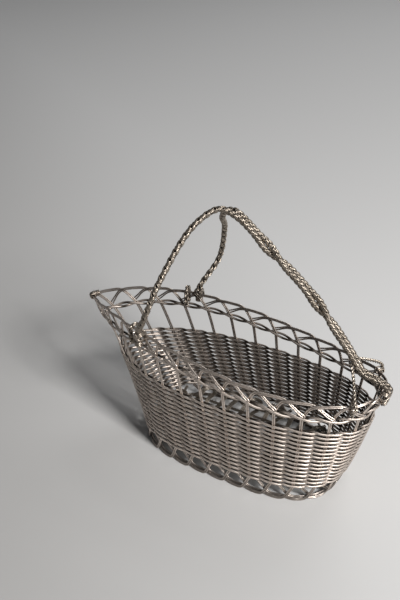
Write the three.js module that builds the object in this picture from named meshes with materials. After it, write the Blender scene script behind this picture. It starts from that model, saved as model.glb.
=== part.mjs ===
// Woven wire pouring basket: an oval foot, a twined wall, a rim drawn out into a spout and a roped handle.
// Millimetres, +Z up. The spout points to -X and the back end to +X. The origin lies on the standing
// plane, under the middle of the overall length.

import * as THREE from 'three';

const { smoothstep } = THREE.MathUtils;

// Foot oval
const FOOT_HALF_LENGTH = 87;
const FOOT_HALF_WIDTH = 51;
const FOOT_SQUARENESS = 3; // power of the oval, 2 would be an ellipse
const FOOT_SET_BACK = 22; // from the rim's middle to the foot's middle, towards the back

// Rim, as a loop round an angle that is 0 at the back end and 180 degrees at the spout
const RIM_MIDDLE_X = -3.9;
const RIM_HALF_LENGTH = 138.5;
const RIM_HALF_WIDTH = 47.5;
const RIM_BACK_FULLNESS = 0.8; // below 1 the end is blunt, above 1 it is drawn out
const RIM_SPOUT_FULLNESS = 1.6;
const RIM_WIDER_BACK = 0.18; // share by which the back half is wider than the middle
const RIM_HEIGHT = 107.5;
const RIM_TILT = 6.5; // the spout's gain in height over the middle
const RIM_LEVELLING = 1.3; // how far the two ends sink below that tilt
const RIM_WAVE = 3.7; // dip behind the middle and swell before it
const WALL_BACK_FLARE = 0.75; // power of the wall's lean, below 1 it leans early
const WALL_SPOUT_FLARE = 1.3; // above 1 it leans late

// Stakes: wire pairs that stand in the wall and are turned down into the two borders
const STAKE_HALF_COUNT = 13;
const STAKE_WIDTH = 3;
const STAKE_THICKNESS = 1.4;
const FOOT_BORDER_HEIGHT = 13.5;
const RIM_BORDER_HEIGHT = 15;

// A stake's turned ends, station by station: steps along the border in stakes, distance from the
// border's edge as a share of its height, and layer (1 is outside the wall's middle, -1 inside)
const FOOT_END = [
  [-1.68, 0.75, -1],
  [-1.48, 0.43, -1],
  [-1.28, 0.12, -1],
  [-1.08, 0, -1],
  [-0.55, 0, 1],
  [-0.35, 0.12, 1],
  [-0.21, 0.43, 1],
  [-0.08, 0.78, 0.5],
];
const RIM_END = [
  [0.08, 0.7, -0.5],
  [0.22, 0.44, -1],
  [0.36, 0.12, -1],
  [0.56, 0, -1],
  [0.81, 0, 0],
  [1.06, 0, 1],
  [1.26, 0.075, 1],
  [1.42, 0.33, 1],
  [1.58, 0.49, 1],
  [1.74, 0.75, 1],
];

// Twined rows of the wall, and the wider twined row that holds the stakes under the rim
const ROW_COUNT = 15;
const ROW_PITCH = 4.05;
const STRAND_DEPTH = 1.7; // through the wall
const STRAND_HEIGHT = 1.45;
const ROW_EYE_HEIGHT = 0.7; // open height between a row's two strands, midway between stakes
const FITCH_STRAND_HEIGHT = 1.7;
const FITCH_EYE_HEIGHT = 1.2;

// Woven floor: rods that run lengthwise, and one flat band woven to and fro across them
const FLOOR_ROD_HALF_COUNT = 3;
const FLOOR_ROD_SPACING = 11;
const FLOOR_BAND_WIDTH = 4.2;
const FLOOR_BAND_THICKNESS = 1.3;
const FLOOR_CROSSINGS = 16;
const FLOOR_END_MARGIN = 5.5; // from the floor's end to the middle of the first crossing
const FLOOR_DROP = 1.1; // from the middle of the lowest row down to the middle of the rods

// Handle: two ropes that rise from the sides, meet at the top and run together to the back end
const ROPE_DIAMETER = 5.4;
const ROPE_SIDES = 8;
const ROPE_STEPS = 76;
const ROPE_TAIL = 11; // length that hangs down outside the rim
const ROPE_RISE = 3; // height above the rim at which a leg starts to lean out
const ROPE_SEAT = 9.5; // place of the side lashings, in stakes from the back end
const ROPE_LEAN = 0.014; // slant of the side tails, in stakes for each millimetre down
const APEX_SPREAD = 1.2; // how much wider apart the two ropes lie where they meet at the top
const BAND_SPREAD = 1.5; // how far they draw apart again behind the second crossing
const CROSSING_LENGTH = 40;
const LASHING_WIRE = 1.6;
const LASHING_SLACK = 2.2; // room left outside the rope
const LASHING_REACH = 0.9; // half length along the slant, in rope diameters
const STAY_DIAMETER = 3;
const STAY_SIDES = 6;
const STAY_STEPS = 16;
const STAY_SEAT = 1.75; // place of the stays' feet, in stakes from the back end
const STAY_TOP = 10; // length that lies along the band
const STAY_TAIL = 9;

// Courses of the handle, from the rim's middle: shares of the rim's half length, for a leg also of its
// half width, and of the handle's rise above the rim
const HANDLE_RISE = 117.5;
const LEG_COURSE = [
  [-0.296, 1.263, 0.294],
  [-0.209, 1.053, 0.617],
  [-0.123, 0.484, 0.894],
];
const BAND_COURSE = [
  [-0.029, 0, 1],
  [0.079, 0, 0.919],
  [0.271, 0, 0.749],
  [0.462, 0, 0.574],
  [0.588, 0, 0.438],
  [0.755, 0, 0.208],
  [0.863, 0, 0.064],
];
const CROSSINGS = [2, 4]; // places in the band's course where the two ropes change sides

const CLEARANCE = 0.3;

// Heights and counts that follow from the sizes above
const STAKE_COUNT = 2 * STAKE_HALF_COUNT + 1; // odd, so that one strand closes after two turns
const LAYER = STAKE_THICKNESS / 2 + CLEARANCE; // from the wall's middle to a border's front or back wires
const ROW_HEIGHTS = Array.from({ length: ROW_COUNT }, (_, k) => FOOT_BORDER_HEIGHT + ROW_PITCH * (k + 0.5));
const WEAVE_TOP = FOOT_BORDER_HEIGHT + ROW_PITCH * ROW_COUNT;
const FLOOR_HEIGHT = ROW_HEIGHTS[0] - FLOOR_DROP;
const BORDER_FACE = LAYER + STAKE_THICKNESS / 2; // outermost face of a border, from the wall's middle

// Loops: closed curves read by the share of their own length, from the back end by the +Y side

function measuredLoop(pointAt) {
  const count = 1440;
  const points = [];
  const lengths = [0];
  for (let k = 0; k <= count; k += 1) {
    points.push(pointAt((2 * Math.PI * k) / count));
    if (k > 0) lengths.push(lengths[k - 1] + points[k].distanceTo(points[k - 1]));
  }
  return (share) => {
    const goal = (share - Math.floor(share)) * lengths[count];
    let low = 0;
    let high = count;
    while (high - low > 1) {
      const middle = (low + high) >> 1;
      if (lengths[middle] <= goal) low = middle;
      else high = middle;
    }
    const part = (goal - lengths[low]) / (lengths[high] - lengths[low]);
    return points[low].clone().lerp(points[high], part);
  };
}

const signedPower = (value, power) => Math.sign(value) * Math.abs(value) ** power;

const footLoop = measuredLoop((angle) => new THREE.Vector3(
  RIM_MIDDLE_X + FOOT_SET_BACK + FOOT_HALF_LENGTH * signedPower(Math.cos(angle), 2 / FOOT_SQUARENESS),
  FOOT_HALF_WIDTH * signedPower(Math.sin(angle), 2 / FOOT_SQUARENESS),
  0,
));

const rimLoop = measuredLoop((angle) => {
  const along = Math.cos(angle);
  const spoutward = (1 - along) / 2;
  const fullness = RIM_BACK_FULLNESS + (RIM_SPOUT_FULLNESS - RIM_BACK_FULLNESS) * spoutward;
  return new THREE.Vector3(
    RIM_MIDDLE_X + RIM_HALF_LENGTH * along,
    RIM_HALF_WIDTH * signedPower(Math.sin(angle), fullness) * (1 + RIM_WIDER_BACK * along),
    RIM_HEIGHT - RIM_TILT * along - RIM_LEVELLING * Math.cos(2 * angle) + RIM_WAVE * Math.cos(3 * angle),
  );
});

// Wall: the foot oval drawn out, level by level, into the rim

function wallPoint(share, z) {
  const foot = footLoop(share);
  const rim = rimLoop(share);
  const backward = (rim.x - RIM_MIDDLE_X + RIM_HALF_LENGTH) / (2 * RIM_HALF_LENGTH);
  const flare = WALL_SPOUT_FLARE + (WALL_BACK_FLARE - WALL_SPOUT_FLARE) * backward;
  const lean = (Math.max(z, 0) / rim.z) ** flare;
  return new THREE.Vector3(foot.x + (rim.x - foot.x) * lean, foot.y + (rim.y - foot.y) * lean, z);
}

function wallFrame(share, z) {
  const reach = 0.08 / STAKE_COUNT;
  const around = wallPoint(share + reach, z).sub(wallPoint(share - reach, z)).normalize();
  const up = wallPoint(share, z + 1).sub(wallPoint(share, z - 1)).normalize();
  const out = around.clone().cross(up).normalize();
  return { point: wallPoint(share, z), around, out, up: out.clone().cross(around) };
}

const rimHeight = (share) => rimLoop(share).z;

// Solids skinned over rings of points, either closed into a loop or capped at both ends

function skin(rings, isLoop) {
  const sides = rings[0].length;
  const positions = rings.flat().flatMap((point) => [point.x, point.y, point.z]);
  const faces = [];
  const lengths = isLoop ? rings.length : rings.length - 1;
  for (let k = 0; k < lengths; k += 1) {
    const here = k * sides;
    const next = ((k + 1) % rings.length) * sides;
    for (let side = 0; side < sides; side += 1) {
      const other = (side + 1) % sides;
      faces.push(here + side, here + other, next + other);
      faces.push(here + side, next + other, next + side);
    }
  }
  if (!isLoop) {
    const last = (rings.length - 1) * sides;
    for (let side = 1; side < sides - 1; side += 1) {
      faces.push(0, side + 1, side);
      faces.push(last, last + side, last + side + 1);
    }
  }
  const geometry = new THREE.BufferGeometry();
  geometry.setAttribute('position', new THREE.Float32BufferAttribute(positions, 3));
  geometry.setIndex(faces);
  geometry.computeVertexNormals();
  return geometry;
}

// Twined row: one strand that goes round twice, outside one stake and below, inside the next and above

// Distance of a strand from the wall's middle where it passes a stake, wide enough to clear the stake's edges
function strandReach() {
  const halfSpacing = footLoop(0).distanceTo(footLoop(0.5 / STAKE_COUNT));
  const stakeEdge = STAKE_WIDTH / 2 / halfSpacing;
  return (STAKE_THICKNESS / 2 + CLEARANCE + STRAND_DEPTH / 2) / (1 - stakeEdge);
}

function twinedRow(heightAt, strandHeight, eyeHeight) {
  const rings = [];
  const stations = 4 * STAKE_COUNT; // two turns, each with a station at every stake and between stakes
  const halfDepth = STRAND_DEPTH / 2;
  const halfHeight = strandHeight / 2;
  for (let k = 0; k < stations; k += 1) {
    const share = k / 2 / STAKE_COUNT;
    const { point, out, up } = wallFrame(share, heightAt(share));
    const turn = (-k * Math.PI) / 2;
    point.addScaledVector(out, strandReach() * Math.cos(turn));
    point.addScaledVector(up, (halfHeight + eyeHeight / 2) * Math.sin(turn));
    const section = [[-halfDepth, -halfHeight], [0, halfHeight], [halfDepth, -halfHeight]];
    rings.push(section.map(([outward, upward]) => point.clone()
      .addScaledVector(out, outward)
      .addScaledVector(up, upward)));
  }
  return skin(rings, true);
}

// Stake: from its end behind the foot border, by the bottom edge and the wall, to its end on the rim border

function stakeStations(index) {
  const edge = STAKE_WIDTH / 2;
  const station = (steps, z, offset, isLevel) => {
    const share = (index + steps) / STAKE_COUNT;
    return { share, z, offset, isLevel };
  };
  const foot = FOOT_END.map(([steps, height, layer]) => (
    station(steps, edge + height * (FOOT_BORDER_HEIGHT - edge), layer * LAYER, height === 0)
  ));
  const wall = [];
  const wallSteps = 6;
  for (let k = 0; k <= wallSteps; k += 1) {
    wall.push(station(0, FOOT_BORDER_HEIGHT + ((WEAVE_TOP - FOOT_BORDER_HEIGHT) * k) / wallSteps, 0, false));
  }
  wall.push(station(0, rimHeight(index / STAKE_COUNT) - RIM_BORDER_HEIGHT, 0, false));
  const rim = RIM_END.map(([steps, depth, layer]) => {
    const drop = edge + depth * (RIM_BORDER_HEIGHT - edge);
    return station(steps, rimHeight((index + steps) / STAKE_COUNT) - drop, layer * LAYER, false);
  });
  return [...foot, ...wall, ...rim];
}

function stake(index) {
  const stations = stakeStations(index).map((station) => {
    const { point, around, out } = wallFrame(station.share, station.z);
    if (station.isLevel) out.setZ(0).normalize();
    return { ...station, around, out, point: point.addScaledVector(out, station.offset) };
  });
  const rings = stations.map((station, k) => {
    const before = stations[Math.max(k - 1, 0)].point;
    const after = stations[Math.min(k + 1, stations.length - 1)].point;
    const run = station.isLevel ? station.around.clone() : after.clone().sub(before);
    const alongRun = station.out.dot(run) / run.lengthSq();
    const face = station.out.clone().addScaledVector(run, -alongRun).normalize();
    const side = run.clone().normalize().cross(face);
    const corner = (across, through) => station.point.clone()
      .addScaledVector(side, (across * STAKE_WIDTH) / 2)
      .addScaledVector(face, (through * STAKE_THICKNESS) / 2);
    return [corner(1, 1), corner(1, -1), corner(-1, -1), corner(-1, 1)];
  });
  return skin(rings, false);
}

// Floor: the band crosses from side to side and turns round at the wall, over one rod and under the next

// Half width of the floor at a place along it, and its two ends
function floorReach() {
  const inset = strandReach() + STRAND_DEPTH / 2 + CLEARANCE;
  const edge = [];
  const count = 180;
  for (let k = 0; k <= count; k += 1) {
    const { point, out } = wallFrame(k / 2 / count, FLOOR_HEIGHT);
    edge.push(point.addScaledVector(out.setZ(0).normalize(), -inset));
  }
  const halfWidth = (x) => {
    const next = edge.findIndex((point) => point.x < x);
    const share = (x - edge[next].x) / (edge[next - 1].x - edge[next].x);
    return edge[next].y + (edge[next - 1].y - edge[next].y) * share;
  };
  return { halfWidth, spoutEnd: edge[count].x, backEnd: edge[0].x };
}

// Where the band crosses, how far out its turns begin, and which crossings each rod passes
function floorPlan() {
  const { halfWidth, spoutEnd, backEnd } = floorReach();
  const pitch = (backEnd - spoutEnd - 2 * FLOOR_END_MARGIN) / (FLOOR_CROSSINGS - 1);
  const crossings = [];
  for (let k = 0; k < FLOOR_CROSSINGS; k += 1) crossings.push(spoutEnd + FLOOR_END_MARGIN + pitch * k);
  const turns = [];
  for (let k = 0; k < FLOOR_CROSSINGS - 1; k += 1) {
    const narrower = Math.min(halfWidth(crossings[k]), halfWidth(crossings[k + 1]));
    turns.push(narrower - (FLOOR_BAND_WIDTH + pitch) / 2);
  }
  const rods = [];
  for (let j = -FLOOR_ROD_HALF_COUNT; j <= FLOOR_ROD_HALF_COUNT; j += 1) {
    const y = j * FLOOR_ROD_SPACING;
    const room = Math.abs(y) + FLOOR_ROD_SPACING / 2;
    const hasRoom = (k) => turns.slice(Math.max(k - 1, 0), k + 1).every((turn) => turn >= room);
    const passed = [...crossings.keys()].filter(hasRoom);
    rods.push({ y, passed });
  }
  return { crossings, turns, pitch, rods };
}

function floorRod({ y, passed }, crossings) {
  const overhang = FLOOR_END_MARGIN - 2 * CLEARANCE;
  const start = crossings[passed[0]] - overhang;
  const end = crossings[passed[passed.length - 1]] + overhang;
  const geometry = new THREE.BoxGeometry(end - start, STAKE_WIDTH, STAKE_THICKNESS);
  return geometry.translate((start + end) / 2, y, FLOOR_HEIGHT);
}

function floorBand({ crossings, turns, pitch, rods }) {
  const slope = 1 - STAKE_WIDTH / FLOOR_ROD_SPACING;
  const reach = (STAKE_THICKNESS / 2 + CLEARANCE + FLOOR_BAND_THICKNESS / 2) / slope;
  const rings = [];
  const ring = (x, y, rise, turned, way) => {
    const point = new THREE.Vector3(x, y, FLOOR_HEIGHT + rise);
    const side = new THREE.Vector3(way * Math.cos(turned), -Math.sin(turned), 0);
    rings.push([[1, 1], [1, -1], [-1, -1], [-1, 1]].map(([across, through]) => point.clone()
      .addScaledVector(side, (across * FLOOR_BAND_WIDTH) / 2)
      .add(new THREE.Vector3(0, 0, (through * FLOOR_BAND_THICKNESS) / 2))));
  };
  const lastTurn = turns.length - 1;
  ring(crossings[0], -turns[0], 0, 0, 1);
  crossings.forEach((x, k) => {
    const way = k % 2 === 0 ? 1 : -1;
    const sides = rods.map(({ y, passed }, j) => ({ y, passed, rise: (j + k) % 2 === 0 ? reach : -reach }));
    const met = sides.filter(({ passed }) => passed.includes(k));
    if (way < 0) met.reverse();
    met.forEach(({ y, rise }) => ring(x, y, rise, 0, way));
    if (k > lastTurn) {
      ring(x, way * turns[lastTurn], 0, 0, way);
      return;
    }
    const turnSteps = 4;
    for (let step = 0; step <= turnSteps; step += 1) {
      const turned = (Math.PI * step) / turnSteps;
      const along = (pitch / 2) * (1 - Math.cos(turned));
      const beyond = (pitch / 2) * Math.sin(turned);
      ring(x + along, way * (turns[k] + beyond), 0, turned, way);
    }
  });
  return skin(rings, false);
}

// Handle ropes and stays: round tubes along curves

function roundTube(points, diameter, sides, steps) {
  const section = new THREE.Shape();
  for (let side = 0; side < sides; side += 1) {
    const angle = (2 * Math.PI * side) / sides;
    const corner = [(diameter / 2) * Math.cos(angle), (diameter / 2) * Math.sin(angle)];
    if (side === 0) section.moveTo(...corner);
    else section.lineTo(...corner);
  }
  const path = new THREE.CatmullRomCurve3(points, false, 'centripetal');
  return new THREE.ExtrudeGeometry(section, { steps, extrudePath: path, bevelEnabled: false });
}

// Points that lead a tube down the rim's outer face to the end of its tail
function outsideRim(seat, diameter, drops, lean = 0) {
  const reach = BORDER_FACE + CLEARANCE + diameter / 2;
  return drops.map((drop) => {
    const share = (seat + lean * drop) / STAKE_COUNT;
    const { point, out } = wallFrame(share, rimHeight(share) - drop);
    return point.addScaledVector(out, reach);
  });
}

// The same, for a tube that comes from inside and crosses the rim's top edge first
function overRim(seat, diameter, tail) {
  const share = seat / STAKE_COUNT;
  const { point: above, out } = wallFrame(share, rimHeight(share));
  above.addScaledVector(out, BORDER_FACE + LAYER + 2 * CLEARANCE);
  above.z += BORDER_FACE + CLEARANCE + diameter / 2;
  return [above, ...outsideRim(seat, diameter, [STAKE_WIDTH, tail])];
}

function handlePoint([along, across, rise]) {
  return new THREE.Vector3(
    RIM_MIDDLE_X + along * RIM_HALF_LENGTH,
    across * RIM_HALF_WIDTH,
    RIM_HEIGHT + rise * HANDLE_RISE,
  );
}

function bandCurve() {
  return new THREE.CatmullRomCurve3(BAND_COURSE.map(handlePoint), false, 'centripetal');
}

function ropePoints(side) {
  const band = bandCurve();
  const length = band.getLength();
  const crossingPlaces = CROSSINGS.map((place) => {
    const goal = handlePoint(BAND_COURSE[place]);
    let nearest = 0;
    for (let share = 0; share <= 1; share += 0.002) {
      const isNearer = band.getPointAt(share).distanceTo(goal) < band.getPointAt(nearest).distanceTo(goal);
      if (isNearer) nearest = share;
    }
    return nearest * length;
  });
  const drops = [ROPE_TAIL, ROPE_TAIL / 3, -ROPE_RISE];
  const points = outsideRim(ROPE_SEAT, ROPE_DIAMETER, drops, ROPE_LEAN);
  points.push(...LEG_COURSE.map(handlePoint));
  const bandSteps = 30;
  for (let k = 0; k <= bandSteps; k += 1) {
    const share = k / bandSteps;
    const place = share * length;
    const halfCrossing = CROSSING_LENGTH / 2;
    const turn = crossingPlaces.reduce((sum, crossing) => (
      sum + Math.PI * smoothstep(place, crossing - halfCrossing, crossing + halfCrossing)
    ), 0);
    const spread = BAND_SPREAD * smoothstep(place, crossingPlaces[1] + halfCrossing, length);
    const closing = APEX_SPREAD * (1 - smoothstep(place, 0, 2 * ROPE_DIAMETER));
    const halfSpan = (ROPE_DIAMETER + 2 * CLEARANCE + closing + spread) / 2;
    const run = band.getTangentAt(share);
    const above = new THREE.Vector3(-run.z, 0, run.x);
    points.push(band.getPointAt(share)
      .addScaledVector(new THREE.Vector3(0, 1, 0), halfSpan * Math.cos(turn))
      .addScaledVector(above, side * halfSpan * Math.sin(turn)));
  }
  const backSeat = points[points.length - 1].y / rimLoop(0).distanceTo(rimLoop(1 / STAKE_COUNT));
  points.push(...overRim(backSeat, ROPE_DIAMETER, ROPE_TAIL));
  return points.map((point) => new THREE.Vector3(point.x, point.y * side, point.z));
}

// Lashing: a wire ring laid slantwise round a rope's tail and the rim's top edge

function lashing(seat, diameter) {
  const share = seat / STAKE_COUNT;
  const { point, around, out, up } = wallFrame(share, rimHeight(share) - STAKE_WIDTH / 2);
  const slant = up.clone().sub(around).normalize();
  const wire = LASHING_WIRE / 2;
  const inner = -(BORDER_FACE + CLEARANCE + wire);
  const outer = BORDER_FACE + diameter + 2 * CLEARANCE + LASHING_SLACK + wire;
  const halfDepth = (outer - inner) / 2;
  const halfLength = LASHING_REACH * diameter + CLEARANCE + wire;
  const rings = [];
  const steps = 16;
  for (let k = 0; k < steps; k += 1) {
    const angle = (2 * Math.PI * k) / steps;
    const deep = signedPower(Math.cos(angle), 0.6);
    const long = signedPower(Math.sin(angle), 0.6);
    const centre = point.clone()
      .addScaledVector(out, (outer + inner) / 2 + halfDepth * deep)
      .addScaledVector(slant, halfLength * long);
    const radial = out.clone().multiplyScalar(Math.cos(angle)).addScaledVector(slant, Math.sin(angle));
    const flank = out.clone().cross(slant);
    rings.push([[1, 0], [0, -1], [-1, 0], [0, 1]].map(([away, across]) => centre.clone()
      .addScaledVector(radial, away * wire)
      .addScaledVector(flank, across * wire)));
  }
  return skin(rings, true);
}

function stay(side) {
  const run = bandCurve().getTangentAt(1);
  const end = bandCurve().getPointAt(1);
  const beside = ROPE_DIAMETER + (BAND_SPREAD + STAY_DIAMETER) / 2 + 2 * CLEARANCE;
  const points = [
    new THREE.Vector3(end.x, beside, end.z).addScaledVector(run, -STAY_TOP),
    new THREE.Vector3(end.x, beside + STAY_DIAMETER / 3, end.z).addScaledVector(run, -STAY_TOP / 5),
    ...overRim(STAY_SEAT, STAY_DIAMETER, STAY_TAIL),
  ];
  const mirrored = points.map((point) => new THREE.Vector3(point.x, point.y * side, point.z));
  return roundTube(mirrored, STAY_DIAMETER, STAY_SIDES, STAY_STEPS);
}

// Assembly

const basket = new THREE.Group();

function silver(color, roughness) {
  return new THREE.MeshStandardMaterial({ color, roughness, metalness: 1 });
}

function place(name, geometry, material) {
  const mesh = new THREE.Mesh(geometry, material);
  mesh.name = name;
  basket.add(mesh);
}

for (let k = 0; k < STAKE_COUNT; k += 1) {
  place(`stake_${String(k + 1).padStart(2, '0')}`, stake(k), silver(0xa79c8c, 0.35));
}
ROW_HEIGHTS.forEach((height, k) => {
  const row = twinedRow(() => height, STRAND_HEIGHT, ROW_EYE_HEIGHT);
  place(`weave_row_${String(k + 1).padStart(2, '0')}`, row, silver(0x9d9180, 0.4));
});
const fitchHeight = (share) => rimHeight(share) - RIM_BORDER_HEIGHT;
const fitch = twinedRow(fitchHeight, FITCH_STRAND_HEIGHT, FITCH_EYE_HEIGHT);
place('rim_fitching', fitch, silver(0xb3a898, 0.32));
const plan = floorPlan();
place('floor_panel', floorBand(plan), silver(0x857a6b, 0.45));
plan.rods.forEach((rod, k) => {
  place(`floor_rod_${k + 1}`, floorRod(rod, plan.crossings), silver(0x857a6b, 0.45));
});

const SIDES = { far: 1, near: -1 };
Object.entries(SIDES).forEach(([name, side]) => {
  const rope = roundTube(ropePoints(side), ROPE_DIAMETER, ROPE_SIDES, ROPE_STEPS);
  place(`handle_rope_${name}`, rope, silver(0x8c8172, 0.42));
  place(`side_lashing_${name}`, lashing(side * ROPE_SEAT, ROPE_DIAMETER), silver(0xa0958a, 0.38));
  place(`stay_${name}`, stay(side), silver(0x8c8172, 0.42));
});

export default basket;
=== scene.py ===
import math

import bpy
import numpy as np
from mathutils import Matrix, Vector


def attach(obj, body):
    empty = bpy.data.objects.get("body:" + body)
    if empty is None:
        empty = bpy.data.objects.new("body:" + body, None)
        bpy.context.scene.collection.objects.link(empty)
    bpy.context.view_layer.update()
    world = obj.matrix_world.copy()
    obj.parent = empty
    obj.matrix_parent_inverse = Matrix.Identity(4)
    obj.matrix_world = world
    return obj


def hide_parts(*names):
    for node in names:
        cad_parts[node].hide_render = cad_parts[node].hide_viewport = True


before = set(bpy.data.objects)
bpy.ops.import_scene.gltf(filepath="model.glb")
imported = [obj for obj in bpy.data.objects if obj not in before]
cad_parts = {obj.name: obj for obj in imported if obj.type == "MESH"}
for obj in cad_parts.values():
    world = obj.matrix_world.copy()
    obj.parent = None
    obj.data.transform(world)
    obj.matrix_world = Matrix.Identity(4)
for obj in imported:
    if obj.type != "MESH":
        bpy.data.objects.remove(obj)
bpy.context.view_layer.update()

# Woven wire pouring basket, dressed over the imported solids: the spout points to -X, the back end to +X.
# Sizes are in millimetres unless a comment says otherwise, and are scaled to metres when a mesh is made.
MM = 0.001
SIDES = (("far", 1), ("near", -1))  # the far side is +Y

# Foot oval
FOOT_HALF_LENGTH = 87
FOOT_HALF_WIDTH = 51
FOOT_SQUARENESS = 3
FOOT_SET_BACK = 22

# Rim loop
RIM_MIDDLE_X = -3.9
RIM_HALF_LENGTH = 138.5
RIM_HALF_WIDTH = 47.5
RIM_BACK_FULLNESS = 0.8
RIM_SPOUT_FULLNESS = 1.6
RIM_WIDER_BACK = 0.18
RIM_HEIGHT = 107.5
RIM_TILT = 6.5
RIM_LEVELLING = 1.3
RIM_WAVE = 3.7
WALL_BACK_FLARE = 0.75
WALL_SPOUT_FLARE = 1.3

# Curves and wires in general
LOOP_SAMPLES = 1441
WALL_PROBE = 0.08  # how far to each side the wall's direction is read, in stakes
OUT_WEIGHT = 0.001  # small, so that directions smoothed together with points don't move the curve
WIRE_SIDES = 8
THIN_WIRE_SIDES = 6
WIRE_END_LENGTH = 0.3  # a cut end's rounding, as a share of the diameter
WIRE_END_WIDTH = 0.55  # the cut face's width, as a share of the diameter

# Stakes and borders
STAKE_COUNT = 27
STAKE_WIRE = 1.34
STAKE_SPREAD = 0.72  # from the pair's middle to each wire's middle
STAKE_BEND_SPREAD = 1.05  # the same where the wire is bent back at the end of its arm
STAKE_WIDENING = 9  # length over which the wires part before the bend
STAKE_BEND_STEPS = 8
STAKE_WALL_POINTS = 7
STAKE_BACK_WEAR_AND_SHADE = 0.25  # how bright a stake's inner side is, as a share of its outer side: less rubbed there, and painted shade
LAYER = 1.0
FOOT_BRIGHTNESS = 0.55  # how bright the foot border is, as a share of the wall: darker towards the bottom
FOOT_BRIGHTENING_START = 4  # height at which it begins to grow brighter
FOOT_BORDER_HEIGHT = 13.5
RIM_BORDER_HEIGHT = 15
BORDER_EDGE = 1.5  # from a border's outer edge to the middle of the nearest wire
BORDER_FACE = 1.7  # from the rim border's middle to its outer face
CLEARANCE = 0.3

# A stake's lower end: stakes along the wall, share of the border's height, layers out of the wall
FOOT_END = [
    (-2.62, 0.95, -1.5),
    (-2.47, 0.72, -1.4),
    (-2.31, 0.46, -1.3),
    (-2.14, 0.22, -1.2),
    (-1.92, 0.1, -1.1),
    (-1.6, 0.09, -1),
    (-1.32, 0.07, -0.9),
    (-1.08, 0.02, 0.2),
    (-0.84, 0, 0.9),
    (-0.56, 0, 1),
    (-0.36, 0.1, 1),
    (-0.2, 0.42, 1),
    (-0.08, 0.78, 0.5),
]

# Its upper end, with the depth below the rim in place of the height
RIM_END = [
    (0.04, 0.86, 0),
    (0.1, 0.62, 0.3),
    (0.18, 0.36, 0.7),
    (0.28, 0.14, 0.9),
    (0.44, 0.02, 0.9),
    (0.72, 0, 0.4),
    (1.06, 0, -0.5),
    (1.28, 0.05, -0.9),
    (1.48, 0.18, -0.5),
    (1.68, 0.4, 0.4),
    (1.87, 0.62, 1.3),
    (2.04, 0.79, 1.7),
]

# Twined rows
ROW_COUNT = 15
ROW_PITCH = 4.05
STRAND_WIRE = 1.98
STRAND_REACH = 1.45  # how far a strand swings out and in to pass a stake
STRAND_LIFT = 0.85  # how far it swings up and down between stakes
SWING_FULLNESS = 1.5  # the greater, the longer a strand stays outside or inside before it changes over
LIFT_SHARPNESS = 3  # above 1 it runs level past a stake and dips late
STRAND_FLATNESS = 0.74  # a strand's depth through the wall as a share of its height
STRAND_STEPS = 8  # samples in half the distance between two stakes
STRAND_WEAR_AND_SHADE = (-0.6, 0.4)  # distances out of the wall's middle between which a strand grows bright: rubbed on its outer face, and painted shade deeper in the wall
STRAND_INNER_WEAR_AND_SHADE = 0.8  # how bright its inner side is, as a share of its outer side; the rest of the strand's depth keeps its painted shade
FITCH_WIRE = 2.3
FITCH_REACH = 1.6
FITCH_LIFT = 1.6
FITCH_FULLNESS = 0.4
FITCH_SHARPNESS = 1.3
WEAVE_TOP = FOOT_BORDER_HEIGHT + ROW_PITCH * ROW_COUNT

# Floor: rods that run lengthwise, and a band of wires woven to and fro across them
FLOOR_DROP = 1.1  # from the first row's middle down to the floor's
FLOOR_HEIGHT = FOOT_BORDER_HEIGHT + ROW_PITCH / 2 - FLOOR_DROP
FLOOR_INSET = 3.37  # from the wall's middle to the floor's edge
FLOOR_EDGE_SAMPLES = 181
FLOOR_ROD_HALF_COUNT = 3
FLOOR_ROD_SPACING = 11
FLOOR_ROD_OVERHANG = 4.9
FLOOR_ROD_STEP = 8
# brightness given to all of the floor's rods, as a share of their silver
FLOOR_ROD_BRIGHTNESS = 0.7
FLOOR_CROSSINGS = 16
FLOOR_END_MARGIN = 5.5  # from the floor's end to the middle of the first crossing
FLOOR_TURN_POINTS = 5
FLOOR_BAND_WIDTH = 4.2
FLOOR_BAND_WIRE = 1.36
FLOOR_BAND_PITCH = 1.04  # distance between its wires, as a share of a wire
FLOOR_BAND_REACH = 1.8  # how far the band swings up and down to pass a rod
FLOOR_BAND_STEP = 1.5
# the same for the floor band's wires
FLOOR_BAND_BRIGHTNESS = 0.85

# Handle ropes: round braids of four strands, each of three thin wires side by side, round a core
ROPE_DIAMETER = 5.4
ROPE_TAIL = 11
ROPE_RISE = 3
ROPE_SEATS = {1: 9.2, -1: 9.5}  # in stakes from the back end, for the far and the near leg
ROPE_LEAN = 0.014
OVER_RIM_DROP = 3
APEX_SPREAD = 1.2
APEX_ROUNDING = 9  # from the band's upper end to where the ropes lie side by side
BAND_POINTS = 30
BAND_NESTING = 0.4  # how far the two ropes' lumps sink into each other in the band
CROSSING_LENGTH = 40
LEG_TURN = 15  # length of one turn of a strand in a leg
BAND_TURN = 9  # the same in the band, which is braided more tightly
BRAID_RADIUS = 1.8
BRAID_WEAVE = 0.48  # how far a strand rises and sinks to pass the others
BRAID_WIRE = 0.96
BRAID_CROWN = 0.2  # how far a strand's outer wires lie below its middle one, as a share of a wire
BRAID_CORE = 1.9
# the core's brightness: deep in the braid it has painted shade and tarnish
BRAID_CORE_WEAR_AND_SHADE = 0.1
BRAID_WEAR_AND_SHADE = (1.3, 2.2)  # distances from the rope's middle between which a wire grows bright: rubbed outside, and painted shade deeper in the braid
BRAID_END = 0.76  # thickness at the back end as a share of the rest
BRAID_TAPER_LENGTH = 45
BRAID_STEP = 0.5

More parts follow.
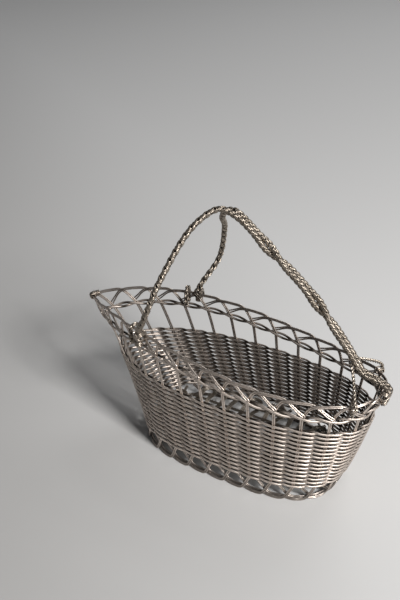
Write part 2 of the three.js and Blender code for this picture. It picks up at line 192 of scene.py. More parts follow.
# The handle's courses, in shares of the rim's half length and half width and of the handle's rise
HANDLE_RISE = 117.5
HANDLE_MIDDLE = (20, 0, 140)  # a point inside the handle; the braids face away from it
FAR_LEG = [(-0.288, 1.263, 0.294), (-0.209, 1.053, 0.617), (-0.116, 0.463, 0.826), (-0.037, 0.19, 0.94)]
NEAR_LEG = [(-0.296, 1.263, 0.294), (-0.209, 1.053, 0.617), (-0.13, 0.421, 0.905), (-0.03, 0.11, 1)]
BAND_COURSE = [
    (-0.012, 0, 1.003),
    (0.087, 0, 0.951),
    (0.28, 0, 0.767),
    (0.471, 0, 0.592),
    (0.594, 0, 0.449),
    (0.765, 0, 0.219),
    (0.863, 0, 0.064),
]
CROSSINGS = [2, 4]  # points of the band's course at which the ropes change places

# Lashings
LASHING_WIRE = 1.0
LASHING_PITCH = 1.05  # distance between turns, as a share of the wire
LASHING_SQUARENESS = 0.7  # below 1 the turns are squarer than an oval
LASHING_TURN_STEPS = 40
COIL_PITCH = 1.06
COIL_TURN_STEPS = 24
COIL_STEP = 0.25
COIL_START_WAY = (0.3, 0.5, 0.2)  # a direction in which no coiled wire runs
COIL_CLEARANCE = 0.3  # from a rope's face to the middle of the wire coiled round it
SIDE_LASHING_TURNS = 3
SIDE_LASHING_REACH = 0.8 * ROPE_DIAMETER
SIDE_LASHING_RISE = 1  # slope of the turns
SIDE_COIL_START = 0.5
SIDE_COIL_LENGTH = 4.2
STAY_LASHING_TURNS = 2
STAY_LASHING_RISE = 1
BACK_LASHING_TURNS = 3
BACK_LASHING_REACH = 1.25 * ROPE_DIAMETER
BACK_LASHING_RISE = 0.5
BACK_COIL_START = 5  # from the rope's end
BACK_COIL_LENGTH = 3.5
SPOUT_BINDING = 0.3  # the bound stretch to each side of the spout's tip, in stakes
SPOUT_BINDING_RADIUS = 2.1
SPOUT_BINDING_SAMPLES = 41

# Short ropes hitched over the rim beside the side lashings
HITCH_STEP = 0.42  # from a side lashing to the hitch, in stakes
HITCH_SCALE = 0.75  # thickness as a share of the handle's ropes
HITCH_COURSE = [  # out of the wall and up from the rim
    (-4.3, -12),
    (-4.6, -5),
    (-3.6, 1.2),
    (0, 3.2),
    (3.8, 1.2),
    (4.7, -5),
    (4.2, -13),
]

# Stays
STAY_SEAT = 1.4
STAY_TOP = 10
STAY_UNDER = 4.2  # from the band's middle down to the stay's upper end
STAY_BESIDE = 5.8  # from the band's middle out to the stay
STAY_TAIL = 9
STAY_DIAMETER = 3
STAY_WIRE = 1.45
STAY_PITCH = 6.5
STAY_STEP = 0.6
STAY_START_WAY = (0.0, 1.0, 0.3)  # a direction in which no stay runs
STAY_WEAR_AND_SHADE = 0.8  # distance from the pair's middle at which a wire is bright, as a share of the wire; nearer the middle it has painted shade

# Silver: noise scales are per metre, and ranges are values between which a change takes place
BRIGHT = (0.72, 0.64, 0.58)
WORN = (0.57, 0.5, 0.445)
# The dark colour serves both real tarnish stains and painted shade in hollows, crevices and inner sides
TARNISH_AND_SHADE = (0.042, 0.034, 0.028)
FLOOR_BRIGHT = (0.4, 0.36, 0.31)
FLOOR_WORN = (0.3, 0.26, 0.22)
ROPE_BRIGHT = (0.5, 0.44, 0.375)
ROPE_WORN = (0.34, 0.295, 0.245)
LASHING_BRIGHT = (0.54, 0.475, 0.41)
LASHING_WORN = (0.36, 0.31, 0.26)
SILVER_SPECULAR = 0.2
SEED_SHIFT = (0.37, 0.11, 0.23)  # how far the noise moves from one material to the next, in metres
PATCHES = (90, 3, 0.6)  # scale, detail and roughness of a noise
BLOTCHES = (420, 3, 0.55)
GRAIN = (2600, 2, 0.6)
PATCH_RANGE = (0.35, 0.65)
STAIN_RANGE = (0.52, 0.74)
STAIN_MOST = 0.55
# Ambient occlusion paints shade into crevices, along with tarnish there
OPEN_RANGE = (0.12, 0.6)
OPEN_LEAST = 0.15
OPEN_SAMPLES = 6
EXPOSED_RANGE = (0, 0.6)
TARNISH_METALLIC = 0.8
TARNISH_DULLNESS = 0.12
DULL_RANGE = (0.3, 0.75)
DULL_LESS = 0.08
DULL_MORE = 0.16
GRAIN_STRENGTH = 0.25
GRAIN_DEPTH = 0.06

# Camera
AZIMUTH = math.radians(30.1)
ELEVATION = math.radians(31.0)
CAMERA_DISTANCE = 712.55
CAMERA_LENS = 50
CAMERA_SENSOR = 36
SUBJECT = Vector((RIM_MIDDLE_X + FOOT_SET_BACK, 0, 60))
SUBJECT_RIGHT = 0.0561  # where the subject point lies in the frame, in shares of its depth
SUBJECT_DOWN = 0.1073

# Studio floor, in metres, with painted light falling off to the left of the view
STUDIO_HALF = 4.0
STUDIO_ROUGHNESS = 0.85
STUDIO_SPECULAR = 0.2
# painted light: the floor runs from a shaded grey to a lit grey, standing in for the key light's falloff
STUDIO_SHADED_GREY = (0.34, 0.335, 0.33, 1)
STUDIO_LIT_GREY = (0.62, 0.62, 0.62, 1)
STUDIO_SHADE_RANGE = (-0.5, 0.35)
STUDIO_NOISE_SCALE = 3.0
STUDIO_NOISE = 0.1
PALER_AWAY = 0.5  # the painted light makes the floor paler to the right of the view and, this much as fast, away from it
PALER_WAY = (
    math.cos(AZIMUTH) - PALER_AWAY * math.sin(AZIMUTH),
    math.sin(AZIMUTH) + PALER_AWAY * math.cos(AZIMUTH),
    0,
)

# Lights: name, place and size in metres, watts and colour
LIGHT_TARGET = (0, 0, 0.09)
LIGHTS = [
    ("key", (1.6, -0.6, 1.35), (0.55, 0.55), 66, (1.0, 0.985, 0.965)),
    ("fill", (-1.8, -1.9, 1.5), (1.6, 1.2), 0.8, (0.97, 0.98, 1.0)),
    ("rim", (0.2, 2.2, 1.9), (1.4, 0.9), 18, (1.0, 1.0, 1.0)),
]
WORLD_COLOUR = (0.9, 0.92, 0.95, 1)
WORLD_STRENGTH = 0.09


# Curves

def unit(vectors):
    return vectors / np.linalg.norm(vectors, axis=-1, keepdims=True)


def signed_power(value, power):
    return np.sign(value) * np.abs(value) ** power


def smoothstep(value, low, high):
    part = np.clip((value - low) / (high - low), 0, 1)
    return part * part * (3 - 2 * part)


def distances_along(path):
    return np.concatenate([[0], np.cumsum(np.linalg.norm(np.diff(path, axis=0), axis=1))])


def measured_loop(point_at):
    """A closed curve read by the share of its own length, from the back end by the +Y side."""
    points = point_at(np.linspace(0, 2 * np.pi, LOOP_SAMPLES))
    steps = np.linalg.norm(np.diff(points, axis=0), axis=1)
    shares = np.concatenate([[0], np.cumsum(steps)]) / steps.sum()

    def at(share):
        part = np.mod(share, 1)
        return np.stack([np.interp(part, shares, points[:, axis]) for axis in range(3)], axis=-1)

    return at


def foot_outline(angle):
    power = 2 / FOOT_SQUARENESS
    x = RIM_MIDDLE_X + FOOT_SET_BACK + FOOT_HALF_LENGTH * signed_power(np.cos(angle), power)
    y = FOOT_HALF_WIDTH * signed_power(np.sin(angle), power)
    return np.stack([x, y, np.zeros_like(x)], axis=-1)


def rim_outline(angle):
    along = np.cos(angle)
    fullness = RIM_BACK_FULLNESS + (RIM_SPOUT_FULLNESS - RIM_BACK_FULLNESS) * (1 - along) / 2
    x = RIM_MIDDLE_X + RIM_HALF_LENGTH * along
    y = RIM_HALF_WIDTH * signed_power(np.sin(angle), fullness) * (1 + RIM_WIDER_BACK * along)
    z = RIM_HEIGHT - RIM_TILT * along - RIM_LEVELLING * np.cos(2 * angle) + RIM_WAVE * np.cos(3 * angle)
    return np.stack([x, y, z], axis=-1)


foot_loop = measured_loop(foot_outline)
rim_loop = measured_loop(rim_outline)


def rim_height(share):
    return rim_loop(share)[..., 2]


def wall_point(share, z):
    """A point of the wall between the foot and the rim, at a share of the way round and a height."""
    foot = foot_loop(share)
    rim = rim_loop(share)
    backward = (rim[..., 0] - RIM_MIDDLE_X + RIM_HALF_LENGTH) / (2 * RIM_HALF_LENGTH)
    flare = WALL_SPOUT_FLARE + (WALL_BACK_FLARE - WALL_SPOUT_FLARE) * backward
    lean = (np.maximum(z, 0) / rim[..., 2]) ** flare
    point = foot + (rim - foot) * lean[..., None]
    point[..., 2] = z
    return point


def wall_frame(share, z):
    """A point of the wall with the directions round it, out of it and up it."""
    share = np.asarray(share, float)
    z = np.broadcast_to(np.asarray(z, float), share.shape)
    reach = WALL_PROBE / STAKE_COUNT
    around = unit(wall_point(share + reach, z) - wall_point(share - reach, z))
    up = unit(wall_point(share, z + 1) - wall_point(share, z - 1))
    out = unit(np.cross(around, up))
    return wall_point(share, z), around, out, np.cross(out, around)


def smooth_curve(points, per_span):
    """Centripetal spline through the points, with equal counts of samples in each span."""
    points = np.asarray(points, float)
    ends = [2 * points[0] - points[1], *points, 2 * points[-1] - points[-2]]
    share = np.linspace(0, 1, per_span, endpoint=False)[:, None]
    pieces = []
    for p0, p1, p2, p3 in zip(ends, ends[1:], ends[2:], ends[3:]):
        d0, d1, d2 = [max(np.linalg.norm(b - a), 1e-6) ** 0.5 for a, b in ((p0, p1), (p1, p2), (p2, p3))]
        t1 = d1 * ((p1 - p0) / d0 - (p2 - p0) / (d0 + d1) + (p2 - p1) / d1)
        t2 = d1 * ((p2 - p1) / d1 - (p3 - p1) / (d1 + d2) + (p3 - p2) / d2)
        c2 = 3 * (p2 - p1) - 2 * t1 - t2
        c3 = 2 * (p1 - p2) + t1 + t2
        pieces.append(p1 + t1 * share + c2 * share ** 2 + c3 * share ** 3)
    return np.concatenate([*pieces, points[-1:]])


def even_steps(path, step):
    """The same path with samples at equal distances, and those distances."""
    lengths = distances_along(path)
    places = np.linspace(0, lengths[-1], max(int(round(lengths[-1] / step)), 2) + 1)
    samples = [np.interp(places, lengths, path[:, axis]) for axis in range(path.shape[1])]
    return np.stack(samples, axis=-1), places


# Meshes

def tube(path, diameter, sides=WIRE_SIDES, is_loop=False):
    """A round wire along a path, as rings of corners."""
    if is_loop:
        tangents = unit(np.roll(path, -1, axis=0) - np.roll(path, 1, axis=0))
    else:
        tangents = unit(np.gradient(path, axis=0))
    normals = np.empty_like(path)
    normal = np.eye(3)[np.argmin(np.abs(tangents[0]))]
    for k, tangent in enumerate(tangents):
        normal = normal - tangent * normal.dot(tangent)
        normal = normal / np.linalg.norm(normal)
        normals[k] = normal
    binormals = np.cross(tangents, normals)
    twist = np.zeros(len(path))
    if is_loop:
        last = normals[-1] - tangents[0] * normals[-1].dot(tangents[0])
        slip = math.atan2(last.dot(binormals[0]), last.dot(normals[0]))
        twist = -slip * np.arange(len(path)) / len(path)
    angles = 2 * np.pi * np.arange(sides) / sides + twist[:, None]
    spokes = np.cos(angles)[..., None] * normals[:, None] + np.sin(angles)[..., None] * binormals[:, None]
    diameters = np.broadcast_to(np.asarray(diameter, float), (len(path),))
    rings = path[:, None] + spokes * diameters[:, None, None] / 2
    if not is_loop:
        before = path[0] - tangents[0] * diameters[0] * WIRE_END_LENGTH
        after = path[-1] + tangents[-1] * diameters[-1] * WIRE_END_LENGTH
        first = before + WIRE_END_WIDTH * (rings[0] - path[0])
        final = after + WIRE_END_WIDTH * (rings[-1] - path[-1])
        rings = np.concatenate([first[None], rings, final[None]])
    return rings


def ring_faces(count, sides, is_loop):
    """The faces between neighbouring rings, and the two end faces of an open wire."""
    k = np.arange(count if is_loop else count - 1)[:, None]
    side = np.arange(sides)[None]
    other = (side + 1) % sides
    after = (k + 1) % count
    corners = [k * sides + side, k * sides + other, after * sides + other, after * sides + side]
    faces = np.stack(corners, axis=-1).reshape(-1, 4).tolist()
    if not is_loop:
        faces.append(list(range(sides))[::-1])
        faces.append([(count - 1) * sides + corner for corner in range(sides)])
    return faces


def wear_and_shade_by_depth(rings, points, outs, low, high):
    """How far each corner stands out of the surface through the points: 0 below low, 1 above high. It serves
    as brightness: rubbed wear where a wire stands out, and painted shade where it lies deep.
    """
    extra = (len(rings) - len(points)) // 2
    index = np.clip(np.arange(-extra, len(points) + extra), 0, len(points) - 1)
    distance = np.sum((rings - points[index][:, None]) * outs[index][:, None], axis=-1)
    return smoothstep(distance, low, high)


def make_piece(name, wires, material, nodes, is_loop=False):
    """One mesh object made of wires, each given as its rings and how bright each corner is, from rubbed wear
    and painted shade.
    """
    corners = []
    faces = []
    worn_and_shaded = []
    start = 0
    for rings, wear_shade in wires:
        count, sides = rings.shape[:2]
        corners.append(rings.reshape(-1, 3))
        worn_and_shaded.append(np.broadcast_to(wear_shade, (count, sides)).ravel())
        faces.extend([[start + index for index in face] for face in ring_faces(count, sides, is_loop)])
        start += count * sides
    mesh = bpy.data.meshes.new(name)
    mesh.from_pydata((np.concatenate(corners) * MM).tolist(), [], faces)
    mesh.polygons.foreach_set("use_smooth", [True] * len(mesh.polygons))
    # Per-corner brightness: rubbed wear, and painted shade in hollows and on inner sides
    mesh.attributes.new("worn_and_shaded", "FLOAT", "POINT").data.foreach_set("value", np.concatenate(worn_and_shaded))
    mesh.materials.append(material)
    mesh.update()
    piece = bpy.data.objects.new(name, mesh)
    bpy.context.scene.collection.objects.link(piece)
    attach(piece, "root")
    if nodes:
        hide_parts(*nodes)
    return piece


# Materials

def aged_silver(name, bright, worn, roughness, crevice, seed):
    """Old silver plate: pale where it stands out and brown in the crevices and on inner sides, partly real
    tarnish and partly painted shade, with fine grain and dull patches.
    """
    material = bpy.data.materials.new(name)
    material.use_nodes = True
    tree = material.node_tree
    nodes = tree.nodes
    links = tree.links
    shader = nodes["Principled BSDF"]
    shader.inputs["Specular IOR Level"].default_value = SILVER_SPECULAR
    place = nodes.new("ShaderNodeTexCoord")
    shift = nodes.new("ShaderNodeMapping")
    shift.inputs["Location"].default_value = [seed * part for part in SEED_SHIFT]
    links.new(place.outputs["Object"], shift.inputs["Vector"])

    def noise(scale, detail, rough):
        node = nodes.new("ShaderNodeTexNoise")
        node.inputs["Scale"].default_value = scale
        node.inputs["Detail"].default_value = detail
        node.inputs["Roughness"].default_value = rough
        links.new(shift.outputs["Vector"], node.inputs["Vector"])
        return node.outputs["Fac"]

    def spread(source, low, high, to_low, to_high):
        node = nodes.new("ShaderNodeMapRange")
        node.inputs["From Min"].default_value = low
        node.inputs["From Max"].default_value = high
        node.inputs["To Min"].default_value = to_low
        node.inputs["To Max"].default_value = to_high
        links.new(source, node.inputs["Value"])
        return node.outputs["Result"]

    def combine(operation, first, second):
        node = nodes.new("ShaderNodeMath")
        node.operation = operation
        links.new(first, node.inputs[0])
        links.new(second, node.inputs[1])
        return node.outputs["Value"]

    def mix(factor, first, second):
        node = nodes.new("ShaderNodeMix")
        node.data_type = "RGBA"
        links.new(factor, node.inputs["Factor"])
        for socket, value in (("A", first), ("B", second)):
            target = [entry for entry in node.inputs if entry.name == socket and entry.type == "RGBA"][0]
            if isinstance(value, tuple):
                target.default_value = (*value, 1)
            else:
                links.new(value, target)
        return [entry for entry in node.outputs if entry.type == "RGBA"][0]

    patches = noise(*PATCHES)
    blotches = noise(*BLOTCHES)
    grain = noise(*GRAIN)
    worn_and_shaded = nodes.new("ShaderNodeAttribute")
    worn_and_shaded.attribute_name = "worn_and_shaded"
    # Painted shade: ambient occlusion darkens crevices toward the tarnish colour, beside real tarnish there
    openness = nodes.new("ShaderNodeAmbientOcclusion")
    openness.samples = OPEN_SAMPLES
    openness.inputs["Distance"].default_value = crevice * MM
    plate = mix(spread(patches, *PATCH_RANGE, 0, 1), worn, bright)
    stained = mix(spread(blotches, *STAIN_RANGE, 0, STAIN_MOST), plate, TARNISH_AND_SHADE)
    is_open = spread(openness.outputs["AO"], *OPEN_RANGE, OPEN_LEAST, 1)
    # Painted shade with wear: hollow and inner corners take the tarnish colour
    exposed = combine("MULTIPLY", is_open, worn_and_shaded.outputs["Fac"])
    links.new(mix(exposed, TARNISH_AND_SHADE, stained), shader.inputs["Base Color"])
    links.new(spread(exposed, *EXPOSED_RANGE, TARNISH_METALLIC, 1), shader.inputs["Metallic"])
    dull = spread(blotches, *DULL_RANGE, roughness - DULL_LESS, roughness + DULL_MORE)
    dulled = spread(exposed, *EXPOSED_RANGE, TARNISH_DULLNESS, 0)
    links.new(combine("ADD", dull, dulled), shader.inputs["Roughness"])
    bump = nodes.new("ShaderNodeBump")
    bump.inputs["Strength"].default_value = GRAIN_STRENGTH
    bump.inputs["Distance"].default_value = GRAIN_DEPTH * MM
    links.new(grain, bump.inputs["Height"])
    links.new(bump.outputs["Normal"], shader.inputs["Normal"])
    return material


# crevice sets how far the painted shade of ambient occlusion reaches
stake_silver = aged_silver("stake_silver", BRIGHT, WORN, roughness=0.36, crevice=0.3, seed=1)
weave_silver = aged_silver("weave_silver", BRIGHT, WORN, roughness=0.48, crevice=0.9, seed=2)
floor_silver = aged_silver("floor_silver", FLOOR_BRIGHT, FLOOR_WORN, roughness=0.45, crevice=2.4, seed=3)
rope_silver = aged_silver("rope_silver", ROPE_BRIGHT, ROPE_WORN, roughness=0.34, crevice=1.2, seed=4)
lashing_silver = aged_silver(
    "lashing_silver", LASHING_BRIGHT, LASHING_WORN, roughness=0.34, crevice=1.2, seed=5
)


# Stakes: pairs of wires from behind the foot border to the front of the rim border

def stake_path(index):
    """The middle line of a stake with its two ends, and the directions out of the wall along it."""
    steps, heights, offsets, level = [], [], [], []
    for step, height, layer in FOOT_END:
        steps.append(step)
        heights.append(BORDER_EDGE + height * (FOOT_BORDER_HEIGHT - BORDER_EDGE))
        offsets.append(layer * LAYER)
        level.append(height == 0)
    fitch_height = rim_height(index / STAKE_COUNT) - RIM_BORDER_HEIGHT
    for height in [*np.linspace(FOOT_BORDER_HEIGHT, WEAVE_TOP, STAKE_WALL_POINTS), fitch_height]:
        steps.append(0)
        heights.append(height)
        offsets.append(0)
        level.append(False)
    for step, depth, layer in RIM_END:
        drop = BORDER_EDGE + depth * (RIM_BORDER_HEIGHT - BORDER_EDGE)
        steps.append(step)
        heights.append(rim_height((index + step) / STAKE_COUNT) - drop)
        offsets.append(layer * LAYER)
        level.append(False)
    shares = (index + np.array(steps)) / STAKE_COUNT
    points, _, outs, _ = wall_frame(shares, np.array(heights))
    outs[level, 2] = 0
    outs = unit(outs)
    points = points + outs * np.array(offsets)[:, None]
    both = smooth_curve(np.concatenate([points, outs * OUT_WEIGHT], axis=1), per_span=7)
    return both[:, :3], unit(both[:, 3:])


def stake_wires(index):
    """One wire bent double: up the stake, round a tight bend at the end of the rim arm, and back down."""
    path, outs = stake_path(index)
    tangents = unit(np.gradient(path, axis=0))
    across = unit(np.cross(tangents, outs))
    lengths = distances_along(path)
    widening = smoothstep(lengths, lengths[-1] - STAKE_WIDENING, lengths[-1])
    spread = (STAKE_SPREAD + (STAKE_BEND_SPREAD - STAKE_SPREAD) * widening)[:, None]
    angle = np.linspace(0, np.pi, STAKE_BEND_STEPS + 1)[1:-1, None]
    bend = path[-1] + STAKE_BEND_SPREAD * (np.cos(angle) * across[-1] + np.sin(angle) * tangents[-1])
    wire = np.concatenate([path + spread * across, bend, (path - spread * across)[::-1]])
    facing = np.concatenate([outs, np.repeat(outs[-1:], len(bend), axis=0), outs[::-1]])
    rings = tube(wire, STAKE_WIRE)
    # Painted shade on each stake's inner side, beside less rubbing there; darker towards the foot
    wear_shade = STAKE_BACK_WEAR_AND_SHADE + (1 - STAKE_BACK_WEAR_AND_SHADE) * wear_and_shade_by_depth(rings, wire, facing, -STAKE_WIRE / 2, 0)
    above_foot = smoothstep(rings[..., 2], FOOT_BRIGHTENING_START, FOOT_BORDER_HEIGHT)
    return [(rings, wear_shade * (FOOT_BRIGHTNESS + (1 - FOOT_BRIGHTNESS) * above_foot))]


for index in range(STAKE_COUNT):
    label = f"{index + 1:02d}"
    make_piece(f"stake_wires_{label}", stake_wires(index), stake_silver, [f"stake_{label}"])


# Twined rows: one strand that goes round twice, outside one stake and inside the next

def twined_strand(height_at, wire, reach, lift, fullness, sharpness):
    turns = np.arange(4 * STAKE_COUNT * STRAND_STEPS) / STRAND_STEPS
    shares = turns / 2 / STAKE_COUNT
    points, _, outs, ups = wall_frame(shares, height_at(shares))
    phase = -turns * np.pi / 2
    swing = reach * np.tanh(fullness * np.cos(phase)) / np.tanh(fullness)
    dip = lift * signed_power(np.sin(phase), sharpness)
    path = points + outs * swing[:, None] + ups * dip[:, None]
    rings = tube(path, wire, is_loop=True)
    depths = np.sum((rings - path[:, None]) * outs[:, None], axis=-1, keepdims=True)
    rings = rings + outs[:, None] * depths * (STRAND_FLATNESS - 1)
    # Painted shade deeper in the wall and on the inner side, beside rubbed wear on the faces that stand out
    outer_face = wear_and_shade_by_depth(rings, points, outs, *STRAND_WEAR_AND_SHADE)
    inner_face = wear_and_shade_by_depth(rings, points, -outs, reach, reach + wire / 4)
    return [(rings, np.maximum(outer_face, STRAND_INNER_WEAR_AND_SHADE * inner_face))]


for row in range(ROW_COUNT):
    height = FOOT_BORDER_HEIGHT + ROW_PITCH * (row + 0.5)
    strand = twined_strand(
        lambda share: np.full_like(share, height),
        STRAND_WIRE, STRAND_REACH, STRAND_LIFT, SWING_FULLNESS, LIFT_SHARPNESS,
    )
    label = f"{row + 1:02d}"
    make_piece(
        f"weave_strand_{label}", strand, weave_silver, [f"weave_row_{label}"], is_loop=True
    )

fitch = twined_strand(
    lambda share: rim_height(share) - RIM_BORDER_HEIGHT,
    FITCH_WIRE, FITCH_REACH, FITCH_LIFT, FITCH_FULLNESS, FITCH_SHARPNESS,
)
make_piece("rim_fitching_strand", fitch, weave_silver, ["rim_fitching"], is_loop=True)


# Floor: pairs of rods, and a band of three wires that goes over one rod and under the next

def floor_plan():
    """Where the band crosses, how far out its turns begin, and which crossings each rod passes."""
    shares = np.linspace(0, 0.5, FLOOR_EDGE_SAMPLES)
    edge, _, outs, _ = wall_frame(shares, np.full(FLOOR_EDGE_SAMPLES, FLOOR_HEIGHT))
    outs[:, 2] = 0
    edge = (edge - unit(outs) * FLOOR_INSET)[::-1]
    first = edge[0, 0] + FLOOR_END_MARGIN
    last = edge[-1, 0] - FLOOR_END_MARGIN
    crossings = np.linspace(first, last, FLOOR_CROSSINGS)
    half_widths = np.interp(crossings, edge[:, 0], edge[:, 1])
    pitch = crossings[1] - crossings[0]
    turns = np.minimum(half_widths[1:], half_widths[:-1]) - (FLOOR_BAND_WIDTH + pitch) / 2
    room = np.minimum(np.append(turns, np.inf), np.append(np.inf, turns)) - FLOOR_ROD_SPACING / 2
    rods = FLOOR_ROD_SPACING * np.arange(-FLOOR_ROD_HALF_COUNT, FLOOR_ROD_HALF_COUNT + 1)
    return crossings, turns, pitch, [(y, np.flatnonzero(room >= abs(y))) for y in rods]


def floor_rods():
    crossings, _, _, rods = floor_plan()
    wires = []
    for y, passed in rods:
        start = crossings[passed[0]] - FLOOR_ROD_OVERHANG
        end = crossings[passed[-1]] + FLOOR_ROD_OVERHANG
        for side in (-1, 1):
            beside = y + side * STAKE_SPREAD
            line = np.array([[start, beside, FLOOR_HEIGHT], [end, beside, FLOOR_HEIGHT]])
            path, _ = even_steps(line, FLOOR_ROD_STEP)
            wires.append((tube(path, STAKE_WIRE), FLOOR_ROD_BRIGHTNESS))
    return wires


def floor_band():
    crossings, turns, pitch, rods = floor_plan()
    points = [(crossings[0], -turns[0], 0)]
    for k, x in enumerate(crossings):
        way = 1 if k % 2 == 0 else -1
        met = []
        for j, (y, passed) in enumerate(rods):
            if k in passed:
                met.append((x, y, FLOOR_BAND_REACH * (-1) ** (j + k)))
        points.extend(met[::way])
        if k == len(turns):
            points.append((x, way * turns[-1], 0))
            break
        for turned in np.linspace(0, np.pi, FLOOR_TURN_POINTS):
            along = pitch / 2 * (1 - np.cos(turned))
            points.append((x + along, way * (turns[k] + pitch / 2 * np.sin(turned)), 0))
    course = smooth_curve(np.array(points) + (0, 0, FLOOR_HEIGHT), per_span=6)
    path, _ = even_steps(course, FLOOR_BAND_STEP)
    run = np.gradient(path, axis=0)
    run[:, 2] = 0
    across = np.cross(unit(run), (0, 0, 1))
    wires = []
    for place in (-1, 0, 1):
        wire = path + across * FLOOR_BAND_WIRE * FLOOR_BAND_PITCH * place
        wires.append((tube(wire, FLOOR_BAND_WIRE), FLOOR_BAND_BRIGHTNESS))
    return wires


floor_rod_nodes = [f"floor_rod_{k + 1}" for k in range(2 * FLOOR_ROD_HALF_COUNT + 1)]
make_piece("floor_rod_wires", floor_rods(), floor_silver, floor_rod_nodes)
make_piece("floor_band_wires", floor_band(), floor_silver, ["floor_panel"])


# Handle

def outside_rim(seat, diameter, drops, lean=0):
    """Points of a rope that lies against the rim's outside, at drops below its edge."""
    reach = BORDER_FACE + CLEARANCE + diameter / 2
    drops = np.array(drops, float)
    shares = (seat + lean * drops) / STAKE_COUNT
    points, _, outs, _ = wall_frame(shares, rim_height(shares) - drops)
    return points + outs * reach


def over_rim(seat, diameter, tail):
    """Points of a rope that comes over the rim's edge and ends outside it."""
    share = np.array([seat / STAKE_COUNT])
    above, _, outs, _ = wall_frame(share, rim_height(share))
    above = above + outs * (BORDER_FACE + LAYER + 2 * CLEARANCE)
    above[:, 2] += BORDER_FACE + CLEARANCE + diameter / 2
    return np.concatenate([above, outside_rim(seat, diameter, [OVER_RIM_DROP, tail])])


def handle_points(course):
    start = np.array((RIM_MIDDLE_X, 0, RIM_HEIGHT))
    return start + np.array(course) * (RIM_HALF_LENGTH, RIM_HALF_WIDTH, HANDLE_RISE)


def band_course():
    """The band's middle line in steps of a millimetre."""
    return even_steps(smooth_curve(handle_points(BAND_COURSE), per_span=40), 1.0)


def rope_course(side):
    """Up a leg, over the top, and down the band beside the other rope, with which it changes places."""
    band, places = band_course()
    marks = []
    for crossing in CROSSINGS:
        away = np.linalg.norm(band - handle_points(BAND_COURSE)[crossing], axis=1)
        marks.append(places[np.argmin(away)])
    legs = handle_points(FAR_LEG if side > 0 else NEAR_LEG)
    foot = outside_rim(ROPE_SEATS[side], ROPE_DIAMETER, [ROPE_TAIL, ROPE_TAIL / 3, -ROPE_RISE], ROPE_LEAN)
    picks = np.linspace(APEX_ROUNDING, len(band) - 1, BAND_POINTS).astype(int)
    place = places[picks]
    run = unit(np.gradient(band, axis=0))[picks]
    half_crossing = CROSSING_LENGTH / 2
    turn = sum(np.pi * smoothstep(place, mark - half_crossing, mark + half_crossing) for mark in marks)
    thinning = ROPE_DIAMETER * (1 - BRAID_END) * smoothstep(place, marks[-1] + half_crossing, places[-1])
    closing = APEX_SPREAD * (1 - smoothstep(place, APEX_ROUNDING, APEX_ROUNDING + 2 * ROPE_DIAMETER))
    half_span = (ROPE_DIAMETER - BAND_NESTING + closing - thinning) / 2
    above = np.stack([-run[:, 2], np.zeros(len(run)), run[:, 0]], axis=-1)
    top = band[picks] + above * (side * half_span * np.sin(turn))[:, None]
    top[:, 1] += half_span * np.cos(turn)
    stake_gap = np.linalg.norm(rim_loop(np.array([0.0])) - rim_loop(np.array([1 / STAKE_COUNT])))
    back = over_rim(top[-1, 1] / stake_gap, ROPE_DIAMETER * BRAID_END, ROPE_TAIL)
    points = np.concatenate([foot, legs, top, back])
    points[:, 1] *= side
    return smooth_curve(points, per_span=12)


def braid(course, end_turn, end_size, scale=1.0, phase=0.0):
    """Four strands of three wires, two winding each way, each over one crossing strand and under the next."""
    path, places = even_steps(course, BRAID_STEP)
    tangents = unit(np.gradient(path, axis=0))
    outs = path - np.array(HANDLE_MIDDLE, float)
    outs = unit(outs - tangents * np.sum(outs * tangents, axis=1, keepdims=True))
    across = np.cross(tangents, outs)
    apex = places[np.argmax(path[:, 2])]
    turn = LEG_TURN + (end_turn - LEG_TURN) * smoothstep(places, apex - end_turn, apex + end_turn)
    taper = smoothstep(places, places[-1] - BRAID_TAPER_LENGTH, places[-1])
    size = scale * (1 - (1 - end_size) * taper)
    turned = phase + np.cumsum(2 * np.pi * places[1] / (turn * size))
    # Painted shade on the core and deeper in the braid, beside rubbed wear on the outside
    wear_shade_low, wear_shade_high = BRAID_WEAR_AND_SHADE
    wires = [(tube(path, BRAID_CORE * size, THIN_WIRE_SIDES), BRAID_CORE_WEAR_AND_SHADE)]
    for way, start in ((1, 0), (1, np.pi), (-1, np.pi / 2), (-1, 3 * np.pi / 2)):
        angle = (way * turned + start)[:, None]
        radial = np.cos(angle) * outs + np.sin(angle) * across
        reach = size * (BRAID_RADIUS + way * BRAID_WEAVE * np.sin(2 * turned))
        strand = path + radial * reach[:, None]
        beside = unit(np.cross(unit(np.gradient(strand, axis=0)), radial))
        for place in (-1, 0, 1):
            wire = strand + place * BRAID_WIRE * size[:, None] * (beside - BRAID_CROWN * place * radial)
            rings = tube(wire, BRAID_WIRE * size, THIN_WIRE_SIDES)
            wires.append((rings, wear_and_shade_by_depth(rings, path, radial, wear_shade_low * scale, wear_shade_high * scale)))
    return wires


for name, side in SIDES:
    wires = braid(rope_course(side), BAND_TURN, BRAID_END, phase=side * np.pi / 4)
    make_piece(f"handle_braid_{name}", wires, rope_silver, [f"handle_rope_{name}"])


# Lashings: turns of thin wire laid slantwise both ways round a rope and the rim's top edge

